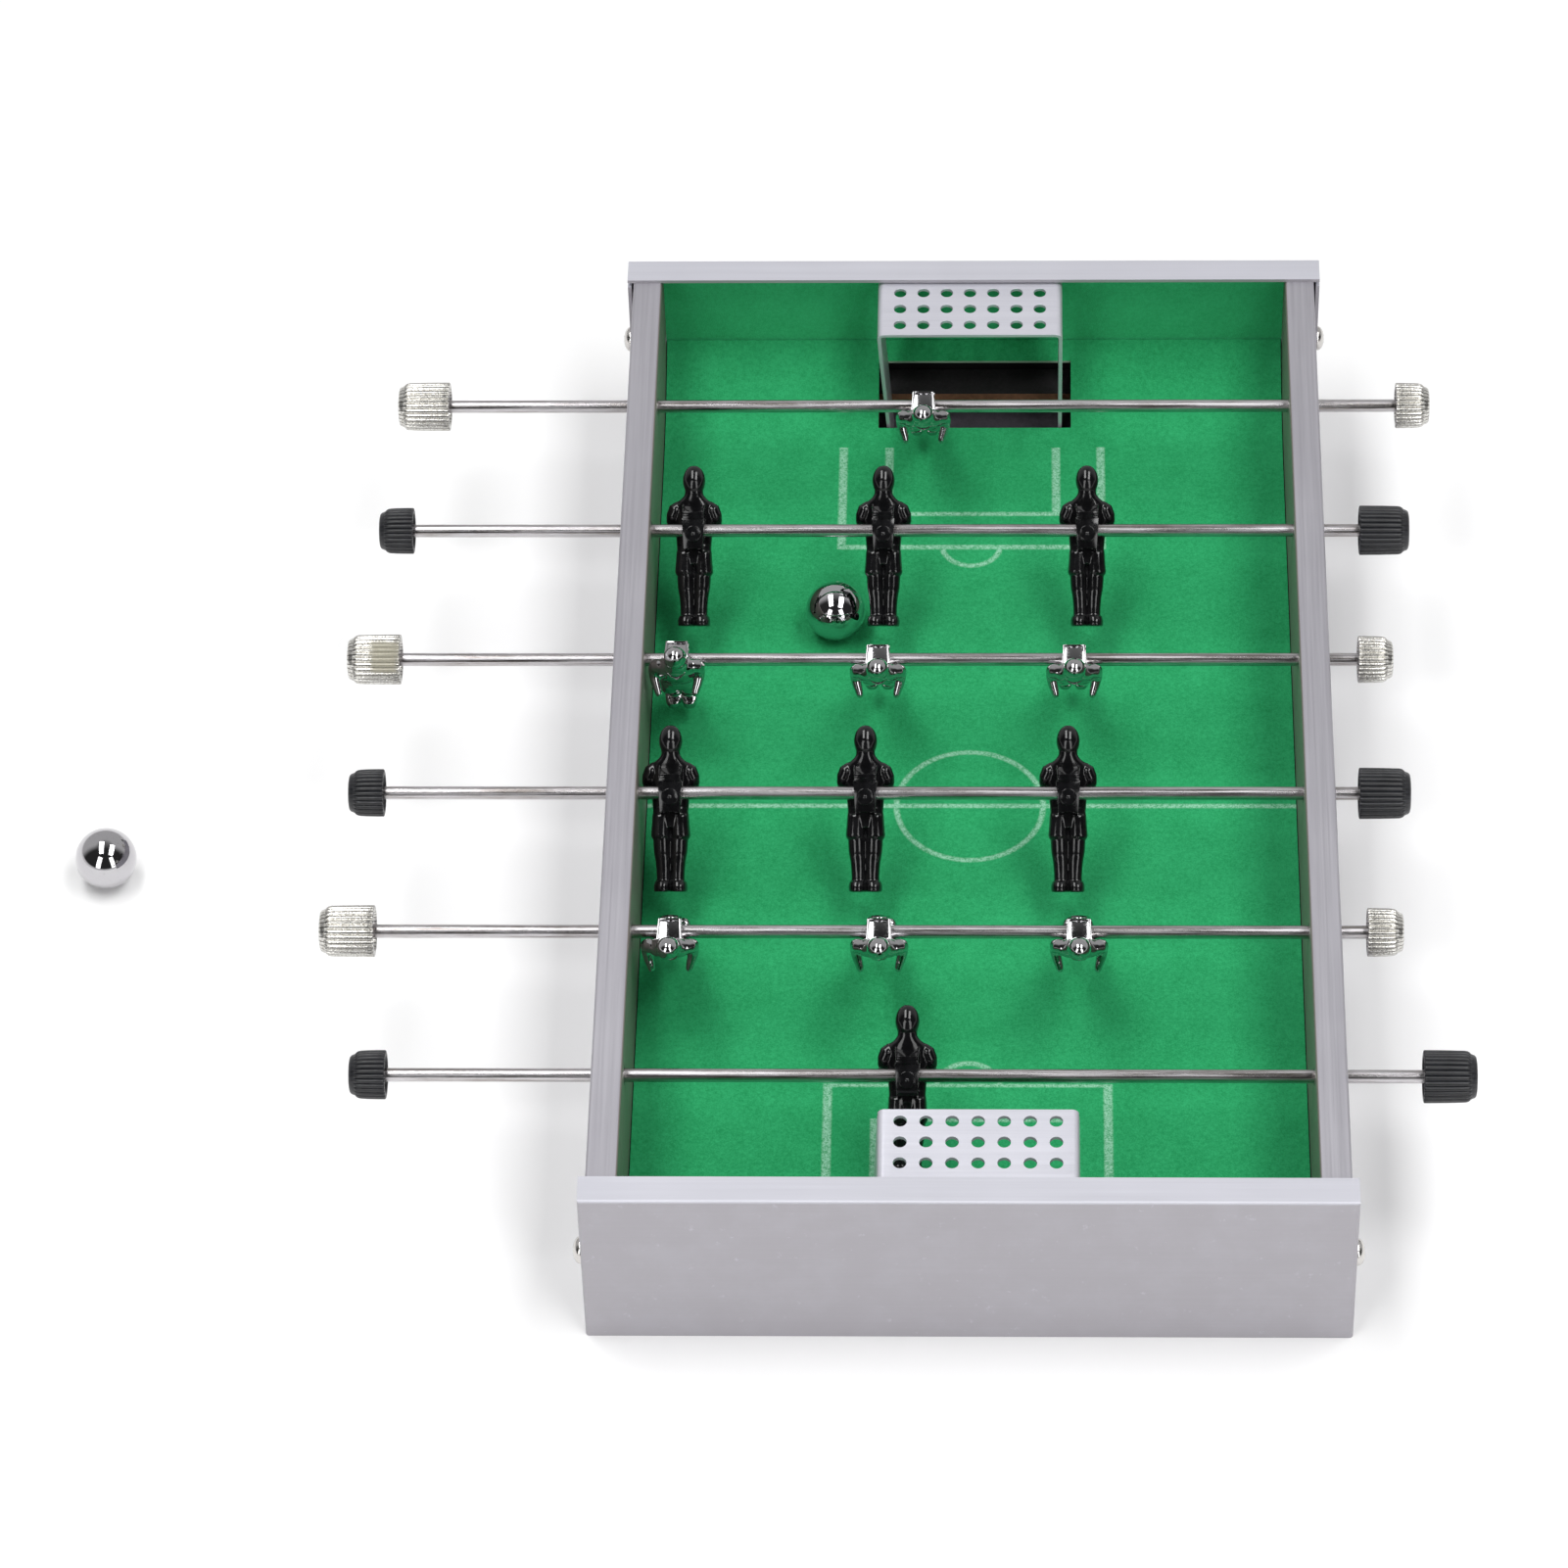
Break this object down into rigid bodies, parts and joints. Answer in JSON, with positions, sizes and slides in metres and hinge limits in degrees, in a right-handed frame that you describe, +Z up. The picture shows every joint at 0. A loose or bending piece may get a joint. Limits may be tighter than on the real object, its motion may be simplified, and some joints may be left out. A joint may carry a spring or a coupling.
{
  "type": "foosball table",
  "caption": "Miniature table-top foosball game: metal-faced case with a flocked pitch, perforated goal hoods, sliding and turning rods of players, and loose steel balls.",
  "frame": {"origin": "centre of the case's underside, on the surface that the table stands on", "axes": "+Z up; +X along the rods, to the right of a player at the near end; +Y along the pitch to the far goal"},
  "size_m": [0.285, 0.265, 0.0445],
  "materials": {
    "wall_metal": "brushed along the wall",
    "wall_board": "fibreboard core, hidden by the skin except from beneath",
    "cap_sheet": "fine satin brushed sheet",
    "screw_steel": "bright pan-head screws",
    "bottom_board": "dark grey hardboard",
    "bare_wood": "bare brown fibreboard",
    "green_flock": "flocked card with chalk-white markings",
    "bush_plastic": "plain nylon",
    "rod_steel": "drawn steel, lengthwise streaks",
    "chrome_knob": "vacuum-metallised, ribbed",
    "black_knob": "satin black, ribbed",
    "chrome_player": "vacuum-metallised mirror chrome",
    "black_player": "gloss black",
    "ball_steel": "polished ball-bearing steel"
  },
  "bodies": {
    "table": {"left_wall_core": "wall_board", "left_wall_skin": "wall_metal", "right_wall_core": "wall_board", "right_wall_skin": "wall_metal", "far_end_cap": "cap_sheet", "near_end_cap": "cap_sheet", "cap_screws": "screw_steel", "bottom_panel": "bottom_board", "left_batten": "bare_wood", "right_batten": "bare_wood", "far_batten": "bare_wood", "near_batten": "bare_wood", "pitch_board": "bare_wood", "pitch_card": "green_flock", "far_end_lining": "green_flock", "near_end_lining": "green_flock", "far_goal_hood": "cap_sheet", "near_goal_hood": "cap_sheet"},
    "chrome_goalie_bearings": {"chrome_goalie_bushes": "bush_plastic"},
    "chrome_goalie_line": {"chrome_goalie_rod": "rod_steel", "chrome_goalie_handle": "chrome_knob", "chrome_goalie_end_button": "chrome_knob", "chrome_goalie_man": "chrome_player"},
    "black_attack_bearings": {"black_attack_bushes": "bush_plastic"},
    "black_attack_line": {"black_attack_rod": "rod_steel", "black_attack_handle": "black_knob", "black_attack_end_button": "black_knob", "black_attack_man_left": "black_player", "black_attack_man_middle": "black_player", "black_attack_man_right": "black_player"},
    "chrome_midfield_bearings": {"chrome_midfield_bushes": "bush_plastic"},
    "chrome_midfield_line": {"chrome_midfield_rod": "rod_steel", "chrome_midfield_handle": "chrome_knob", "chrome_midfield_end_button": "chrome_knob", "chrome_midfield_man_left": "chrome_player", "chrome_midfield_man_middle": "chrome_player", "chrome_midfield_man_right": "chrome_player"},
    "black_midfield_bearings": {"black_midfield_bushes": "bush_plastic"},
    "black_midfield_line": {"black_midfield_rod": "rod_steel", "black_midfield_handle": "black_knob", "black_midfield_end_button": "black_knob", "black_midfield_man_left": "black_player", "black_midfield_man_middle": "black_player", "black_midfield_man_right": "black_player"},
    "chrome_attack_bearings": {"chrome_attack_bushes": "bush_plastic"},
    "chrome_attack_line": {"chrome_attack_rod": "rod_steel", "chrome_attack_handle": "chrome_knob", "chrome_attack_end_button": "chrome_knob", "chrome_attack_man_left": "chrome_player", "chrome_attack_man_middle": "chrome_player", "chrome_attack_man_right": "chrome_player"},
    "black_goalie_bearings": {"black_goalie_bushes": "bush_plastic"},
    "black_goalie_line": {"black_goalie_rod": "rod_steel", "black_goalie_handle": "black_knob", "black_goalie_end_button": "black_knob", "black_goalie_man": "black_player"},
    "loose_ball": {"pitch_ball": "ball_steel"},
    "second_ball": {"spare_ball": "ball_steel"}
  },
  "joints": [
    {"name": "chrome_goalie_spin", "type": "hinge", "parent": "table", "child": "chrome_goalie_bearings", "pos_m": [0, 0.09425, 0.0337], "axis": [1, 0, 0], "range_deg": [-271, 54]},
    {"name": "chrome_goalie_slide", "type": "slide", "parent": "chrome_goalie_bearings", "child": "chrome_goalie_line", "axis": [1, 0, 0], "range_m": [-0.0053, 0.0251]},
    {"name": "black_attack_spin", "type": "hinge", "parent": "table", "child": "black_attack_bearings", "pos_m": [0, 0.05655, 0.0337], "axis": [1, 0, 0], "continuous": true},
    {"name": "black_attack_slide", "type": "slide", "parent": "black_attack_bearings", "child": "black_attack_line", "axis": [1, 0, 0], "range_m": [-0.001, 0.02]},
    {"name": "chrome_midfield_spin", "type": "hinge", "parent": "table", "child": "chrome_midfield_bearings", "pos_m": [0, 0.01885, 0.0337], "axis": [1, 0, 0], "continuous": true},
    {"name": "chrome_midfield_slide", "type": "slide", "parent": "chrome_midfield_bearings", "child": "chrome_midfield_line", "axis": [1, 0, 0], "range_m": [-0.0007, 0.0402]},
    {"name": "black_midfield_spin", "type": "hinge", "parent": "table", "child": "black_midfield_bearings", "pos_m": [0, -0.01885, 0.0337], "axis": [1, 0, 0], "continuous": true},
    {"name": "black_midfield_slide", "type": "slide", "parent": "black_midfield_bearings", "child": "black_midfield_line", "axis": [1, 0, 0], "range_m": [-0.0004, 0.0417]},
    {"name": "chrome_attack_spin", "type": "hinge", "parent": "table", "child": "chrome_attack_bearings", "pos_m": [0, -0.05655, 0.0337], "axis": [1, 0, 0], "continuous": true},
    {"name": "chrome_attack_slide", "type": "slide", "parent": "chrome_attack_bearings", "child": "chrome_attack_line", "axis": [1, 0, 0], "range_m": [-0.0018, 0.0397]},
    {"name": "black_goalie_spin", "type": "hinge", "parent": "table", "child": "black_goalie_bearings", "pos_m": [0, -0.09425, 0.0337], "axis": [1, 0, 0], "range_deg": [-52, 273]},
    {"name": "black_goalie_slide", "type": "slide", "parent": "black_goalie_bearings", "child": "black_goalie_line", "axis": [1, 0, 0], "range_m": [-0.0012, 0.0292]},
    {"name": "pitch_ball_lift", "type": "slide", "parent": "table", "child": "loose_ball", "axis": [0, -0.463, 0.8864], "range_m": [0, 0.045]},
    {"name": "spare_ball_lift", "type": "slide", "parent": "table", "child": "second_ball", "axis": [0, 0, 1], "range_m": [0, 0.045]}
  ]
}
